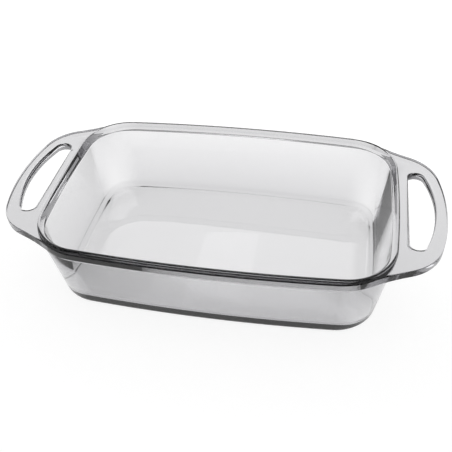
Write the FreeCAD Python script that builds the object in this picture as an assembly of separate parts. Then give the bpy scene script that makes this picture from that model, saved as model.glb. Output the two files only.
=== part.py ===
import FreeCAD, Part
import math
import os

# Pressed clear-glass loaf pan with two open loop handles.
#
# Frame: +Z up, origin at the centre of the resting face, +X towards the right handle,
# -Y towards the front long side. All lengths are millimetres.
#
# The pan is one continuous pressing. It is built whole, then divided into named regions
# that share their boundary faces exactly, so nothing overlaps and nothing is missing.

V = FreeCAD.Vector

# ---------------------------------------------------------------- driving dimensions
HEIGHT = 57.4            # resting face to top of the lip
LIP_RISE = 1.4           # lip top above the rim and handle plates
RIM_THICKNESS = 6.0      # rim and handle plate thickness
FLOOR_THICKNESS = 4.5
LIP_HALF = (119.2, 77.8)         # outer face of the lip, at mid-side
LIP_CORNER = 34.0
END_BOW_RADIUS = 800.0           # plan radius of the two short sides
SIDE_BOW_RADIUS = 1150.0         # plan radius of the two long sides
BASE_HALF = (111.0, 70.2)        # outer wall carried down to the resting plane
BASE_CORNER = 30.0
BASE_EDGE_ROUND = 5.0
WALL_TOP_INSET = 0.9             # outer wall behind the lip face, under the rim
WALL_TOP_CORNER = 29.5
UNDER_RIM_FILLET = 1.2
BASIN_FLOOR_HALF = (106.9, 64.5)
BASIN_FLOOR_CORNER = 16.0
BASIN_FLOOR_FILLET = 5.0
MOUTH_INSET = 3.9                # basin mouth inside the lip face
MOUTH_DROP = 3.0                 # basin mouth below the lip top
MOUTH_ROUND = 0.9
LIP_TOP_INNER_INSET = 1.4
LIP_TOP_OUTER_INSET = 0.2
LIP_INNER_ROUND = 1.0
LIP_OUTER_ROUND = 0.5
LIP_FOOT_FILLET = 0.5

# Plate outline, one quarter: (radius, turn in degrees), negative turns to the outside.
PLATE_HALF_WIDTH = 80.4
PLATE_ARCS = ((1137.0, 4.2), (41.7, 28.8), (140.0, -10.9), (32.8, 53.9), (146.0, 14.0))
PLATE_EDGE_ROUND = 0.9

# Finger opening: straight inner side, bowed outer side, rounded ends.
OPENING_INNER_X = 125.6
OPENING_OUTER_X = 142.4
OPENING_HALF_LENGTH = 38.4
OPENING_BOW_RADIUS = 96.0
OPENING_OUTER_CORNER = 5.5
OPENING_INNER_CORNER = 5.0
OPENING_EDGE_ROUND = 2.5

BASE_CUT = 5.5           # level where the base region ends and the walls begin
HANDLE_CUT = 121.0       # distance from centre where each handle region begins

RIM_TOP = HEIGHT - LIP_RISE
RIM_BOTTOM = RIM_TOP - RIM_THICKNESS


# ---------------------------------------------------------------- outline helpers
def bowed_rectangle(half, corner, z, bows=(END_BOW_RADIUS, SIDE_BOW_RADIUS)):
    """Closed wire of four bowed sides and four tangent corner arcs."""
    end_centre = half[0] - bows[0]
    side_centre = half[1] - bows[1]
    a = bows[0] - corner
    b = bows[1] - corner
    # corner centre: distance a from (end_centre, 0) and b from (0, side_centre)
    d = math.hypot(end_centre, side_centre)
    along = (a * a - b * b + d * d) / (2 * d)
    away = math.sqrt(a * a - along * along)
    ux = -end_centre / d
    uy = side_centre / d
    cx = end_centre + along * ux - away * uy
    cy = along * uy + away * ux

    def reach(centre, radius):
        dx = cx - centre[0]
        dy = cy - centre[1]
        length = math.hypot(dx, dy)
        return V(centre[0] + dx / length * radius, centre[1] + dy / length * radius, z)

    end_point = reach((end_centre, 0.0), bows[0])
    side_point = reach((0.0, side_centre), bows[1])
    heading = math.atan2(end_point.y + side_point.y - 2 * cy, end_point.x + side_point.x - 2 * cx)
    corner_mid = V(cx + corner * math.cos(heading), cy + corner * math.sin(heading), z)
    edges = []
    for sx, sy in ((1, 1), (-1, 1), (-1, -1), (1, -1)):
        e, m, s = [V(p.x * sx, p.y * sy, z) for p in (end_point, corner_mid, side_point)]
        if sx * sy > 0:
            edges.append(Part.Arc(e, m, s).toShape())
            edges.append(Part.Arc(s, V(0, half[1] * sy, z), V(-s.x, s.y, z)).toShape())
        else:
            edges.append(Part.Arc(s, m, e).toShape())
            edges.append(Part.Arc(e, V(half[0] * sx, 0, z), V(e.x, -e.y, z)).toShape())
    return Part.Wire(Part.__sortEdges__(edges))


def inset(half, amount):
    return (half[0] - amount, half[1] - amount)


def lip_ring(amount, z):
    """Lip outline moved inwards by amount, every arc keeping its centre."""
    bows = (END_BOW_RADIUS - amount, SIDE_BOW_RADIUS - amount)
    return bowed_rectangle(inset(LIP_HALF, amount), LIP_CORNER - amount, z, bows)


def ruled(*wires):
    return Part.makeLoft(list(wires), True, True)


def arc_chain(start, heading, arcs):
    """Points start, middle, end of each tangent arc in turn."""
    x, y = start
    pieces = []
    for radius, turn in arcs:
        side = math.copysign(radius, turn)
        cx = x - side * math.sin(heading)
        cy = y + side * math.cos(heading)
        points = []
        for part in (0.0, 0.5, 1.0):
            h = heading + math.radians(turn) * part
            points.append((cx + side * math.sin(h), cy - side * math.cos(h)))
        heading += math.radians(turn)
        x, y = points[2]
        pieces.append(points)
    return pieces


def plate_outline(z):
    quarter = arc_chain((0.0, -PLATE_HALF_WIDTH), 0.0, PLATE_ARCS)
    # close the quarter exactly on the X axis
    last = quarter[-1]
    quarter[-1] = [last[0], last[1], (last[2][0], 0.0)]
    edges = []
    for sx in (1, -1):
        for sy in (1, -1):
            for points in quarter:
                a, b, c = [V(px * sx, py * sy, z) for px, py in points]
                edges.append(Part.Arc(a, b, c).toShape())
    return Part.Wire(Part.__sortEdges__(edges))


def opening_outline(side, z):
    """Closed wire of one finger opening."""
    ro = OPENING_OUTER_CORNER
    ri = OPENING_INNER_CORNER
    bow_centre = OPENING_OUTER_X - OPENING_BOW_RADIUS
    cy = OPENING_HALF_LENGTH - ro
    reach = OPENING_BOW_RADIUS - ro
    cx = bow_centre + math.sqrt(reach * reach - cy * cy)
    tilt = math.atan2(cy, cx - bow_centre)
    bow_end = (cx + ro * math.cos(tilt), cy + ro * math.sin(tilt))
    mid = (tilt + math.pi / 2) / 2
    outer_mid = (cx + ro * math.cos(mid), cy + ro * math.sin(mid))
    ix = OPENING_INNER_X + ri
    iy = OPENING_HALF_LENGTH - ri
    half = math.sqrt(0.5) * ri
    edges = []

    def point(p, sy):
        return V(p[0] * side, p[1] * sy, z)

    for sy in (1, -1):
        edges.append(Part.Arc(point(bow_end, sy), point(outer_mid, sy),
                              point((cx, OPENING_HALF_LENGTH), sy)).toShape())
        edges.append(Part.makeLine(point((cx, OPENING_HALF_LENGTH), sy),
                                   point((ix, OPENING_HALF_LENGTH), sy)))
        edges.append(Part.Arc(point((ix, OPENING_HALF_LENGTH), sy),
                              point((ix - half, iy + half), sy),
                              point((OPENING_INNER_X, iy), sy)).toShape())
    edges.append(Part.Arc(point(bow_end, 1), point((OPENING_OUTER_X, 0), 1), point(bow_end, -1)).toShape())
    edges.append(Part.makeLine(point((OPENING_INNER_X, iy), 1), point((OPENING_INNER_X, iy), -1)))
    return Part.Wire(Part.__sortEdges__(edges))


def slab(wire, depth):
    return Part.Face(wire).extrude(V(0, 0, depth))


def edges_at(shape, z, keep=lambda edge: True):
    found = []
    for edge in shape.Edges:
        box = edge.BoundBox
        if abs(box.ZMin - z) < 1e-4 and abs(box.ZMax - z) < 1e-4 and keep(edge):
            found.append(edge)
    return found


def edges_on(shape, ring):
    """Edges of the shape that run along a closed wire, both ends and the middle."""
    found = []
    for edge in shape.Edges:
        first, last = edge.ParameterRange
        points = [edge.valueAt(first + (last - first) * part) for part in (0.0, 0.5, 1.0)]
        if all(ring.distToShape(Part.Vertex(p))[0] < 0.02 for p in points):
            found.append(edge)
    return found


# ---------------------------------------------------------------- the pressing
def make_plate():
    """Rim flange and both handle plates, with rounded edges and finger openings."""
    plate = slab(plate_outline(RIM_BOTTOM), RIM_THICKNESS)
    plate = plate.makeFillet(PLATE_EDGE_ROUND, edges_at(plate, RIM_TOP) + edges_at(plate, RIM_BOTTOM))
    for side in (1, -1):
        plate = plate.cut(slab(opening_outline(side, RIM_BOTTOM - 1), RIM_THICKNESS + 2))

    def at_opening(edge):
        middle = edge.BoundBox.Center
        inside_x = OPENING_INNER_X - 1 < abs(middle.x) < OPENING_OUTER_X + 1
        return inside_x and edge.BoundBox.YLength < 2 * OPENING_HALF_LENGTH and \
            abs(middle.y) < OPENING_HALF_LENGTH + 1

    for level in (RIM_TOP, RIM_BOTTOM):
        plate = plate.makeFillet(OPENING_EDGE_ROUND, edges_at(plate, level, at_opening))
    return plate


def wall_top_ring():
    return bowed_rectangle(inset(LIP_HALF, WALL_TOP_INSET), WALL_TOP_CORNER, RIM_BOTTOM)


def make_body():
    """Solid outer form of basin and lip, before the basin is hollowed."""
    shell = ruled(bowed_rectangle(BASE_HALF, BASE_CORNER, 0.0), wall_top_ring())
    shell = shell.makeFillet(BASE_EDGE_ROUND, edges_at(shell, 0.0))
    core = ruled(lip_ring(MOUTH_INSET, RIM_BOTTOM - 1.0), lip_ring(0.0, RIM_TOP),
                 lip_ring(LIP_TOP_OUTER_INSET, HEIGHT))
    core = core.makeFillet(LIP_OUTER_ROUND, edges_at(core, HEIGHT))
    return shell.fuse(core)


def make_cavity():
    """Space inside the basin up to its mouth, and the flared mouth above it."""
    mouth_level = HEIGHT - MOUTH_DROP
    basin = ruled(bowed_rectangle(BASIN_FLOOR_HALF, BASIN_FLOOR_CORNER, FLOOR_THICKNESS),
                  lip_ring(MOUTH_INSET, mouth_level))
    basin = basin.makeFillet(BASIN_FLOOR_FILLET, edges_at(basin, FLOOR_THICKNESS))
    flare = (MOUTH_INSET - LIP_TOP_INNER_INSET) / MOUTH_DROP
    above = 1.0
    mouth = ruled(lip_ring(MOUTH_INSET, mouth_level),
                  lip_ring(LIP_TOP_INNER_INSET - flare * above, HEIGHT + above))
    return basin, mouth


def make_pan():
    basin, mouth = make_cavity()
    pan = make_body().fuse(make_plate())
    pan = pan.cut(basin.fuse(mouth)).removeSplitter()
    print("basin to the mouth, litres", round(basin.Volume / 1e6, 3))
    for ring, radius in (
            (lip_ring(LIP_TOP_INNER_INSET, HEIGHT), LIP_INNER_ROUND),
            (lip_ring(MOUTH_INSET, HEIGHT - MOUTH_DROP), MOUTH_ROUND),
            (lip_ring(0.0, RIM_TOP), LIP_FOOT_FILLET),
            (wall_top_ring(), UNDER_RIM_FILLET)):
        pan = pan.makeFillet(radius, edges_on(pan, ring))
    return pan


def prism(points, z0, z1):
    corners = [V(x, y, z0) for x, y in points]
    corners.append(corners[0])
    return slab(Part.makePolygon(corners), z1 - z0)


def main():
    os.makedirs("parts", exist_ok=True)
    pan = make_pan()

    far = 200.0
    mitre = LIP_HALF[0] - LIP_HALF[1]
    reach = far - mitre
    below = prism([(-far, -far), (far, -far), (far, far), (-far, far)], -1, BASE_CUT)
    right = [(mitre, 0), (far, -reach), (far, reach)]
    front = [(-mitre, 0), (-far, -reach), (far, -reach), (mitre, 0)]
    middle = [(-HANDLE_CUT, -far), (HANDLE_CUT, -far), (HANDLE_CUT, far), (-HANDLE_CUT, far)]
    beside = [(HANDLE_CUT, -far), (far, -far), (far, far), (HANDLE_CUT, far)]

    def turned(points, sx, sy):
        return [(x * sx, y * sy) for x, y in points]

    regions = {
        "base": below,
        "wall_front": prism(front, BASE_CUT, RIM_BOTTOM),
        "wall_back": prism(turned(front, 1, -1), BASE_CUT, RIM_BOTTOM),
        "wall_left": prism(turned(right, -1, 1), BASE_CUT, RIM_BOTTOM),
        "wall_right": prism(right, BASE_CUT, RIM_BOTTOM),
        "rim": prism(middle, RIM_BOTTOM, HEIGHT + 1),
        "handle_left": prism(turned(beside, -1, 1), RIM_BOTTOM - 1, HEIGHT + 1),
        "handle_right": prism(beside, RIM_BOTTOM - 1, HEIGHT + 1),
    }
    total = 0.0
    for name, region in regions.items():
        shape = pan.common(region)
        solids = shape.Solids
        if len(solids) != 1:
            raise RuntimeError(name + " has " + str(len(solids)) + " solids")
        solids[0].exportStep("parts/" + name + ".step")
        total += solids[0].Volume
        print(name, round(solids[0].Volume), solids[0].isValid())
    print("whole", round(pan.Volume), "regions", round(total), "box", pan.BoundBox)


main()
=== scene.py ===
import math
from functools import partial

import bmesh
import bpy
from mathutils import Matrix, Vector


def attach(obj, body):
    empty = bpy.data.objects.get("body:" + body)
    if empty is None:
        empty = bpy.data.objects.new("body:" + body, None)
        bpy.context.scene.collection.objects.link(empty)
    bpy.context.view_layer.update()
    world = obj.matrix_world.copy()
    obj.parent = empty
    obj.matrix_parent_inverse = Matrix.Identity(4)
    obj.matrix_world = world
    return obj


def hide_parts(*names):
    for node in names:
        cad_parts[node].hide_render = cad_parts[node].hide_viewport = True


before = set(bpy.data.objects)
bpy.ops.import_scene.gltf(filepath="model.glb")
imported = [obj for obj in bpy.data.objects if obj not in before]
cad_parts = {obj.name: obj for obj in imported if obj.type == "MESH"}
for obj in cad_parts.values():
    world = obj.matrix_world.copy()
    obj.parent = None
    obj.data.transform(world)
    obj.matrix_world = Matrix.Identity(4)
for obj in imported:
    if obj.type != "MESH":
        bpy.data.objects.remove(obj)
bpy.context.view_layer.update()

# A pressed clear-glass loaf pan with two open loop handles, one seamless piece.
# Frame: metres, +Z up, origin at the centre of the resting face, -Y is the front.

MM = 0.001

# ---------------------------------------------------------------- driving dimensions, mm
HEIGHT = 57.4                    # resting face to top of the lip
LIP_RISE = 1.4                   # lip top above the rim and handle plates
RIM_THICKNESS = 6.0
RIM_TOP = HEIGHT - LIP_RISE
RIM_BOTTOM = RIM_TOP - RIM_THICKNESS

LIP_HALF = (119.2, 77.8)         # outer face of the lip, at mid-side
LIP_CORNER = 34.0
BOWS = (800.0, 1150.0)           # plan radii of the short and long sides
LIP_TOP_INSETS = (1.4, 0.2)      # inner and outer edge of the lip top, inside that face
LIP_ROUNDS = (1.0, 0.5)          # rounding of those two edges
LIP_FOOT_FILLET = 0.5
MOUTH_INSET = 3.9                # basin mouth inside the lip face
MOUTH_DROP = 3.0                 # basin mouth below the lip top
MOUTH_ROUND = 0.9

FLOOR_TOP = 4.5
FLOOR_HALF = (106.9, 64.5)       # basin walls carried down to the floor
FLOOR_CORNER = 16.0
FLOOR_FILLET = 5.0
WALL_INSET = 0.9                 # outer wall behind the lip face, under the rim
WALL_CORNER = 29.5
UNDER_RIM_FILLET = 1.2
BASE_HALF = (111.0, 70.2)        # outer walls carried down to the resting plane
BASE_CORNER = 30.0
BASE_ROUND = 5.0

# Plate outline, one quarter: (radius, turn in degrees), negative turns to the outside.
PLATE_HALF_WIDTH = 80.4
PLATE_ARCS = ((1137.0, 4.2), (41.7, 28.8), (140.0, -10.9), (32.8, 53.9), (146.0, 14.0))
EDGE_ROUND = 0.9

# Finger opening: straight inner side, bowed outer side, rounded ends.
OPENING_INNER_X = 125.6
OPENING_OUTER_X = 142.4
OPENING_HALF = 38.4
OPENING_BOW = 96.0
OPENING_OUTER_CORNER = 5.5
OPENING_INNER_CORNER = 5.0
OPENING_ROUND = 2.5

# ---------------------------------------------------------------- look, light and camera
GLASS_INDEX = 1.5
GLASS_TINT = (0.505, 0.502, 0.522, 1.0)
GLASS_DENSITY = 113.0            # absorption per metre, through the tint
FLOOR_TONE = 0.25
FLOOR_PAINTED_LIGHT = (0.86, 0.985)       # floor's own glow in front of the pan and behind it; the rise toward the back is painted light from the softbox behind
FLOOR_PAINTED_LIGHT_SPAN = (-0.06, 0.16)  # where along Y the painted rise in the glow happens, metres
ROOM = 0.05                      # dome on the camera's side
SWEEP = 0.75                     # dome everywhere else
ROOM_TURN = (-0.75, -0.2)        # Y of the direction where room turns into sweep
SOFTBOX_LEVEL = 2.2
SOFTBOX_X = (-0.46, 0.04)        # softbox span, as sideways and backward run over height
SOFTBOX_Y = (0.75, 1.12)
SOFTBOX_EDGE = 0.015

CAMERA_AZIMUTH = math.radians(12.08)
CAMERA_ELEVATION = math.radians(41.77)
CAMERA_ROLL = math.radians(-2.35)
CAMERA_DISTANCE = 0.49691
CAMERA_SLIDE = (-0.00025, 0.01751)
SENSOR_WIDTH = 36.0
FOCAL_LENGTH = 52.706


# ---------------------------------------------------------------- plan outlines
def arc(centre, radius, start, end, steps):
    """Points of an arc, without its last one, so that arcs can follow each other."""
    angles = [start + (end - start) * i / steps for i in range(steps)]
    return [(centre[0] + radius * math.cos(a), centre[1] + radius * math.sin(a)) for a in angles]


def mirrored(quarter):
    """A closed ring from the points between the +X axis and the +Y axis, both included."""
    back = [(-x, y) for x, y in reversed(quarter[:-1])]
    half = quarter + back
    return half + [(x, -y) for x, y in reversed(half[1:-1])]


def bowed_ring(half, corner, bows=BOWS, end_steps=8, corner_steps=28, side_steps=12):
    """Four gently bowed sides joined by tangent corner arcs, counter-clockwise."""
    end_centre = half[0] - bows[0]
    side_centre = half[1] - bows[1]
    a = bows[0] - corner
    b = bows[1] - corner
    d = math.hypot(end_centre, side_centre)
    along = (a * a - b * b + d * d) / (2 * d)
    away = math.sqrt(a * a - along * along)
    ux, uy = -end_centre / d, side_centre / d
    cx = end_centre + along * ux - away * uy
    cy = along * uy + away * ux
    first = math.atan2(cy, cx - end_centre)
    second = math.atan2(cy - side_centre, cx)
    quarter = arc((end_centre, 0), bows[0], 0, first, end_steps)
    quarter += arc((cx, cy), corner, first, second, corner_steps)
    quarter += arc((0, side_centre), bows[1], second, math.pi / 2, side_steps)
    quarter.append((0.0, half[1]))
    return mirrored(quarter)


def inset_ring(half, corner, inset):
    """Bowed ring moved inwards by inset on every side."""
    return bowed_ring((half[0] - inset, half[1] - inset), corner - inset)


def lip_ring(inset):
    """Lip outline moved inwards by inset, every arc keeping its centre."""
    bows = (BOWS[0] - inset, BOWS[1] - inset)
    half = (LIP_HALF[0] - inset, LIP_HALF[1] - inset)
    return bowed_ring(half, LIP_CORNER - inset, bows)


def plate_ring(inset):
    """Outline of rim and handle plates, moved inwards by inset, counter-clockwise."""
    x, y, heading = 0.0, -PLATE_HALF_WIDTH, 0.0
    quarter = []
    for radius, turn in PLATE_ARCS:
        side = math.copysign(1.0, turn)
        cx = x - side * radius * math.sin(heading)
        cy = y + side * radius * math.cos(heading)
        steps = max(8, round(abs(turn) * 0.7))
        start = heading - side * math.pi / 2
        end = start + math.radians(turn)
        angles = [start + (end - start) * i / steps for i in range(steps)]
        reach = radius - side * inset
        quarter += [(cx + reach * math.cos(a), cy + reach * math.sin(a)) for a in angles]
        heading += math.radians(turn)
        x = cx + side * radius * math.sin(heading)
        y = cy - side * radius * math.cos(heading)
    quarter.append((x - inset, 0.0))
    # quarter runs from the -Y axis to the +X axis; turn it into +X to +Y order
    return mirrored([(px, -py) for px, py in reversed(quarter)])


def opening_ring(side, grow):
    """Outline of one finger opening, moved outwards from its middle by grow."""
    ro = OPENING_OUTER_CORNER + grow
    ri = OPENING_INNER_CORNER + grow
    bow = OPENING_BOW + grow
    bow_centre = OPENING_OUTER_X - OPENING_BOW
    cy = OPENING_HALF - OPENING_OUTER_CORNER
    reach = OPENING_BOW - OPENING_OUTER_CORNER
    cx = bow_centre + math.sqrt(reach * reach - cy * cy)
    tilt = math.atan2(cy, cx - bow_centre)
    ix = OPENING_INNER_X + OPENING_INNER_CORNER
    iy = OPENING_HALF - OPENING_INNER_CORNER
    half = arc((bow_centre, 0), bow, 0, tilt, 14)
    half += arc((cx, cy), ro, tilt, math.pi / 2, 12)
    half += arc((ix, iy), ri, math.pi / 2, math.pi, 12)
    inner = OPENING_INNER_X - grow
    half += [(inner, iy * (1 - i / 6)) for i in range(7)]
    ring = half + [(x, -y) for x, y in reversed(half[1:-1])]
    return [(x * side, y) for x, y in ring]


def at(ring, z):
    """The ring's points in space, at one level."""
    return [Vector((x, y, z)) for x, y in ring]


# ---------------------------------------------------------------- mesh building
def rounded(before, corner, after, radius, steps):
    """Points and surface normals of the arc that rounds a corner of a section."""
    u = (before - corner).normalized()
    w = (after - corner).normalized()
    half_angle = math.acos(u.dot(w)) / 2
    tangent = radius / math.tan(half_angle)
    centre = corner + (u + w).normalized() * (radius / math.sin(half_angle))
    first = (corner + u * tangent - centre) / radius
    last = (corner + w * tangent - centre) / radius
    turn = math.acos(first.dot(last))
    arc_points = []
    for i in range(steps + 1):
        t = i / steps
        normal = (first * math.sin((1 - t) * turn) + last * math.sin(t * turn)) / math.sin(turn)
        arc_points.append((centre + normal * radius, normal))
    return arc_points


def strip(bm, guides, roundings):
    """Band whose section passes the guide rings and is rounded at the inner ones.

    Returns its rows of vertices; the exact surface normal is kept with each vertex.
    """
    columns = []
    for i in range(len(guides[0])):
        column = []
        for k, (radius, steps) in enumerate(roundings, start=1):
            column += rounded(guides[k - 1][i], guides[k][i], guides[k + 1][i], radius, steps)
        columns.append([new_vertex(bm, point, normal) for point, normal in column])
    rows = [list(row) for row in zip(*columns)]
    for lower, upper in zip(rows, rows[1:]):
        for i in range(len(lower)):
            j = (i + 1) % len(lower)
            bm.faces.new((lower[i], lower[j], upper[j], upper[i]))
    return rows


def new_vertex(bm, point, normal):
    """Vertex at a point in mm that carries its surface normal, of either sign."""
    vertex = bm.verts.new(point * MM)
    vertex[bm.verts.layers.float_vector["surface"]] = normal
    return vertex


def ring_edges(bm, row):
    """Edges of a closed row of vertices."""
    return [bm.edges.get((row[i], row[(i + 1) % len(row)])) for i in range(len(row))]


def fill_flat(bm, rows):
    """Flat face bounded by these rings, the first one outermost."""
    edges = [edge for row in rows for edge in ring_edges(bm, row)]
    bmesh.ops.triangle_fill(bm, use_beauty=True, use_dissolve=False, edges=edges)


def inside_strip(bm):
    """From the basin floor up the walls, over the lip and down onto the rim."""
    guides = [
        at(inset_ring(FLOOR_HALF, FLOOR_CORNER, 8.0), FLOOR_TOP),
        at(bowed_ring(FLOOR_HALF, FLOOR_CORNER), FLOOR_TOP),
        at(lip_ring(MOUTH_INSET), HEIGHT - MOUTH_DROP),
        at(lip_ring(LIP_TOP_INSETS[0]), HEIGHT),
        at(lip_ring(LIP_TOP_INSETS[1]), HEIGHT),
        at(lip_ring(0.0), RIM_TOP),
        at(lip_ring(-1.0), RIM_TOP)]
    roundings = [
        (FLOOR_FILLET, 10), (MOUTH_ROUND, 5), (LIP_ROUNDS[0], 6), (LIP_ROUNDS[1], 6),
        (LIP_FOOT_FILLET, 5)]
    return strip(bm, guides, roundings)


def outside_strip(bm):
    """From the underside of the rim down the outer walls and under the base."""
    wall_half = (LIP_HALF[0] - WALL_INSET, LIP_HALF[1] - WALL_INSET)
    guides = [
        at(inset_ring(wall_half, WALL_CORNER, -3.0), RIM_BOTTOM),
        at(bowed_ring(wall_half, WALL_CORNER), RIM_BOTTOM),
        at(bowed_ring(BASE_HALF, BASE_CORNER), 0.0),
        at(inset_ring(BASE_HALF, BASE_CORNER, 12.0), 0.0)]
    return strip(bm, guides, [(UNDER_RIM_FILLET, 5), (BASE_ROUND, 10)])


def side_strip(bm, outline, inwards, radius, steps):
    """Upright face along an outline of the plate, rounded into its top and underside."""
    guides = [
        at(outline(inwards), RIM_TOP),
        at(outline(0.0), RIM_TOP),
        at(outline(0.0), RIM_BOTTOM),
        at(outline(inwards), RIM_BOTTOM)]
    return strip(bm, guides, [(radius, steps), (radius, steps)])


def build_pan():
    """The whole pan as one closed mesh with exact normals on its curved parts."""
    bm = bmesh.new()
    surface = bm.verts.layers.float_vector.new("surface")
    inside = inside_strip(bm)
    outside = outside_strip(bm)
    edge = side_strip(bm, plate_ring, 4.0, EDGE_ROUND, 6)
    holes = []
    for side in (1, -1):
        outline = partial(opening_ring, side)
        holes.append(side_strip(bm, outline, 3.5, OPENING_ROUND, 8))

    fill_flat(bm, [edge[0], inside[-1], holes[0][0], holes[1][0]])
    fill_flat(bm, [edge[-1], outside[0], holes[0][-1], holes[1][-1]])
    fill_flat(bm, [inside[0]])
    fill_flat(bm, [outside[-1]])
    bmesh.ops.recalc_face_normals(bm, faces=bm.faces[:])

    bm.normal_update()
    normals = [v[surface] * math.copysign(1.0, v[surface].dot(v.normal)) for v in bm.verts]
    mesh = bpy.data.meshes.new("loaf_pan")
    bm.verts.layers.float_vector.remove(surface)
    bm.to_mesh(mesh)
    bm.free()
    for polygon in mesh.polygons:
        polygon.use_smooth = True
    mesh.normals_split_custom_set_from_vertices(normals)
    pan = bpy.data.objects.new("loaf_pan", mesh)
    bpy.context.scene.collection.objects.link(pan)
    return pan


# ---------------------------------------------------------------- materials
def principled(name):
    material = bpy.data.materials.new(name)
    material.use_nodes = True
    return material, material.node_tree, material.node_tree.nodes["Principled BSDF"]


def clear_glass():
    """Clear pressed glass: clean and colourless, grey only where it is deep."""
    material, tree, shader = principled("clear_glass")
    shader.inputs["Base Color"].default_value = (1.0, 1.0, 1.0, 1.0)
    shader.inputs["Roughness"].default_value = 0.0
    shader.inputs["IOR"].default_value = GLASS_INDEX
    shader.inputs["Transmission Weight"].default_value = 1.0
    nodes, links = tree.nodes, tree.links
    body = nodes.new("ShaderNodeVolumeAbsorption")
    body.inputs["Color"].default_value = GLASS_TINT
    body.inputs["Density"].default_value = GLASS_DENSITY
    links.new(body.outputs[0], nodes["Material Output"].inputs["Volume"])
    return material


# ---------------------------------------------------------------- stage, light and camera
def make_floor():
    """Plain pale floor with an even glow of its own, plus painted light: the glow is a little
    stronger behind the pan, standing in for the softbox's light falling off toward the front.
    """
    bm = bmesh.new()
    bmesh.ops.create_circle(bm, cap_ends=True, radius=6.0, segments=96)
    mesh = bpy.data.meshes.new("studio_floor")
    bm.to_mesh(mesh)
    bm.free()
    floor = bpy.data.objects.new("studio_floor", mesh)
    floor.location.z = -0.0004
    bpy.context.scene.collection.objects.link(floor)
    material, tree, shader = principled("pale_floor")
    shader.inputs["Base Color"].default_value = (FLOOR_TONE, FLOOR_TONE, FLOOR_TONE, 1.0)
    shader.inputs["Roughness"].default_value = 0.9
    shader.inputs["Specular IOR Level"].default_value = 0.0
    shader.inputs["Emission Color"].default_value = (1.0, 1.0, 1.0, 1.0)
    nodes, links = tree.nodes, tree.links
    coords = nodes.new("ShaderNodeTexCoord")
    split = nodes.new("ShaderNodeSeparateXYZ")
    # painted light: the floor's glow rises along Y from front to back, as if the softbox behind
    # lit it there
    painted_light = nodes.new("ShaderNodeMapRange")
    painted_light.interpolation_type = "SMOOTHSTEP"
    for socket, value in zip(painted_light.inputs[1:5], FLOOR_PAINTED_LIGHT_SPAN + FLOOR_PAINTED_LIGHT):
        socket.default_value = value
    links.new(coords.outputs["Object"], split.inputs[0])
    links.new(split.outputs["Y"], painted_light.inputs["Value"])
    links.new(painted_light.outputs["Result"], shader.inputs["Emission Strength"])
    mesh.materials.append(material)


def make_world():
    """Studio dome: dark room on the camera's side, pale sweep, and one softbox high behind."""
    world = bpy.data.worlds.new("studio")
    bpy.context.scene.world = world
    world.use_nodes = True
    tree = world.node_tree
    nodes, links = tree.nodes, tree.links
    background = nodes["Background"]
    coords = nodes.new("ShaderNodeTexCoord")
    split = nodes.new("ShaderNodeSeparateXYZ")
    links.new(coords.outputs["Generated"], split.inputs[0])

    def maths(operation, first, second):
        node = nodes.new("ShaderNodeMath")
        node.operation = operation
        for socket, value in zip(node.inputs, (first, second)):
            if isinstance(value, (int, float)):
                socket.default_value = value
            else:
                links.new(value, socket)
        return node.outputs[0]

    def step(value, start, end):
        node = nodes.new("ShaderNodeMapRange")
        node.interpolation_type = "SMOOTHSTEP"
        node.inputs["From Min"].default_value = start
        node.inputs["From Max"].default_value = end
        links.new(value, node.inputs["Value"])
        return node.outputs["Result"]

    height = maths("MAXIMUM", split.outputs["Z"], 0.02)
    across = maths("DIVIDE", split.outputs["X"], height)
    along = maths("DIVIDE", split.outputs["Y"], height)
    box = 1.0
    for value, (low, high) in ((across, SOFTBOX_X), (along, SOFTBOX_Y)):
        box = maths("MULTIPLY", box, step(value, low - SOFTBOX_EDGE, low + SOFTBOX_EDGE))
        box = maths("MULTIPLY", box, step(value, high + SOFTBOX_EDGE, high - SOFTBOX_EDGE))
    dome = nodes.new("ShaderNodeValToRGB")
    dome.color_ramp.interpolation = "EASE"
    front, behind = dome.color_ramp.elements
    front.position, front.color = 0.0, (ROOM, ROOM, ROOM * 1.03, 1)
    behind.position, behind.color = 1.0, (SWEEP, SWEEP, SWEEP, 1)
    links.new(step(split.outputs["Y"], *ROOM_TURN), dome.inputs[0])
    level = nodes.new("ShaderNodeMix")
    level.data_type = "RGBA"
    links.new(box, level.inputs["Factor"])
    links.new(dome.outputs["Color"], level.inputs[6])
    level.inputs[7].default_value = (SOFTBOX_LEVEL, SOFTBOX_LEVEL, SOFTBOX_LEVEL, 1)
    links.new(level.outputs[2], background.inputs["Color"])


def make_camera():
    """Camera aimed at the origin, then slid sideways and up in its own plane."""
    a, e = CAMERA_AZIMUTH, CAMERA_ELEVATION
    back = Vector((math.sin(a) * math.cos(e), -math.cos(a) * math.cos(e), math.sin(e)))
    right = Vector((0, 0, 1)).cross(back).normalized()
    up = back.cross(right)
    c, s = math.cos(CAMERA_ROLL), math.sin(CAMERA_ROLL)
    right, up = right * c + up * s, up * c - right * s
    place = back * CAMERA_DISTANCE + right * CAMERA_SLIDE[0] + up * CAMERA_SLIDE[1]
    data = bpy.data.cameras.new("camera")
    data.sensor_width = SENSOR_WIDTH
    data.lens = FOCAL_LENGTH
    data.clip_start = 0.01
    camera = bpy.data.objects.new("camera", data)
    camera.matrix_world = Matrix((
        (right.x, up.x, back.x, place.x),
        (right.y, up.y, back.y, place.y),
        (right.z, up.z, back.z, place.z),
        (0, 0, 0, 1)))
    bpy.context.scene.collection.objects.link(camera)
    bpy.context.scene.camera = camera


pan = build_pan()
pan.data.materials.append(clear_glass())
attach(pan, "root")
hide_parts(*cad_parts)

make_floor()
make_world()
make_camera()
bpy.context.scene.view_settings.view_transform = "Standard"
